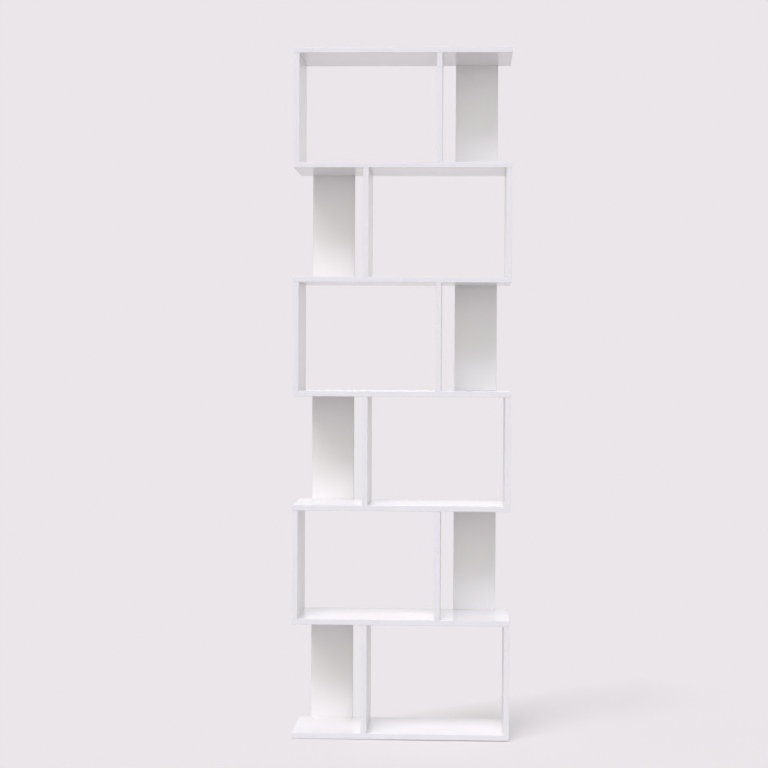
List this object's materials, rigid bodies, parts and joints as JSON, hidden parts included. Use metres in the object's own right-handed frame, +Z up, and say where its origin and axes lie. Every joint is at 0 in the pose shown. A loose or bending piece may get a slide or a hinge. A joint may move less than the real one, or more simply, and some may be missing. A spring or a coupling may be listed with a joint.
{
  "type": "zigzag bookcase",
  "caption": "Tall free-standing zigzag bookcase of white boards: stacked tiers of a wide and a narrow open cell that swap sides, with narrow back panels.",
  "frame": {"origin": "middle of the footprint on the floor, at the bottom of the glides", "axes": "+X to the right as seen from the front, +Y towards the back, +Z up"},
  "size_m": [0.6, 0.24, 1.908],
  "materials": {
    "white_board": "satin white laminate on chipboard",
    "zinc_screw": "zinc plated",
    "white_plastic": "satin moulded plastic"
  },
  "bodies": {
    "root": {"bottom_board": "white_board", "shelf_1": "white_board", "shelf_2": "white_board", "shelf_3": "white_board", "shelf_4": "white_board", "shelf_5": "white_board", "top_board": "white_board", "side_panel_1": "white_board", "divider_1": "white_board", "back_panel_1": "white_board", "side_panel_2": "white_board", "divider_2": "white_board", "back_panel_2": "white_board", "side_panel_3": "white_board", "divider_3": "white_board", "back_panel_3": "white_board", "side_panel_4": "white_board", "divider_4": "white_board", "back_panel_4": "white_board", "side_panel_5": "white_board", "divider_5": "white_board", "back_panel_5": "white_board", "side_panel_6": "white_board", "divider_6": "white_board", "back_panel_6": "white_board", "screw_side_panel_1_top": "zinc_screw", "screw_side_panel_1_bottom": "zinc_screw", "screw_divider_1_top": "zinc_screw", "screw_divider_1_bottom": "zinc_screw", "screw_side_panel_2_top": "zinc_screw", "screw_side_panel_2_bottom": "zinc_screw", "screw_divider_2_top": "zinc_screw", "screw_divider_2_bottom": "zinc_screw", "screw_side_panel_3_top": "zinc_screw", "screw_side_panel_3_bottom": "zinc_screw", "screw_divider_3_top": "zinc_screw", "screw_divider_3_bottom": "zinc_screw", "screw_side_panel_4_top": "zinc_screw", "screw_side_panel_4_bottom": "zinc_screw", "screw_divider_4_top": "zinc_screw", "screw_divider_4_bottom": "zinc_screw", "screw_side_panel_5_top": "zinc_screw", "screw_side_panel_5_bottom": "zinc_screw", "screw_divider_5_top": "zinc_screw", "screw_divider_5_bottom": "zinc_screw", "screw_side_panel_6_top": "zinc_screw", "screw_side_panel_6_bottom": "zinc_screw", "screw_divider_6_top": "zinc_screw", "screw_divider_6_bottom": "zinc_screw", "glide_front_left": "white_plastic", "glide_front_right": "white_plastic", "glide_back_left": "white_plastic", "glide_back_right": "white_plastic"}
  },
  "joints": []
}
